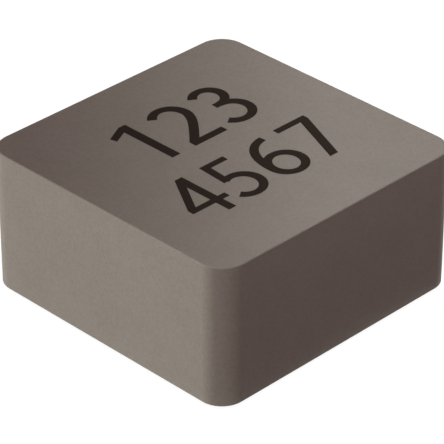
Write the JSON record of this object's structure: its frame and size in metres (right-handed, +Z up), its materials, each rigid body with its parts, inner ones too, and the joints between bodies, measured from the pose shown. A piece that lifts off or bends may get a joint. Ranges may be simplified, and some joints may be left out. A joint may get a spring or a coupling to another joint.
{
  "type": "shielded surface-mount power inductor",
  "caption": "Square moulded power inductor with rounded upright corners, a flat-wire winding on a T-shaped powder core inside, and flat solder terminals underneath.",
  "frame": {"origin": "centre of the solder plane, under the middle of the block", "axes": "+Z is up, away from the circuit board. +X runs from the finish terminal to the start terminal, and the marking on top reads along it. +Y is up the marking."},
  "size_m": [0.0064, 0.0064, 0.0031],
  "materials": {
    "compound": "fine matt, as pressed in a die",
    "pressed_core": "fine matt, pressed and cured powder",
    "copper_wire": "copper under clear enamel",
    "tin_plate": "satin tin plate",
    "marking_ink": "thin dark matt ink, for the printed figures"
  },
  "bodies": {
    "root": {"moulded_body": "compound", "t_core": "pressed_core", "winding": "copper_wire", "start_terminal": "tin_plate", "finish_terminal": "tin_plate"}
  },
  "joints": []
}
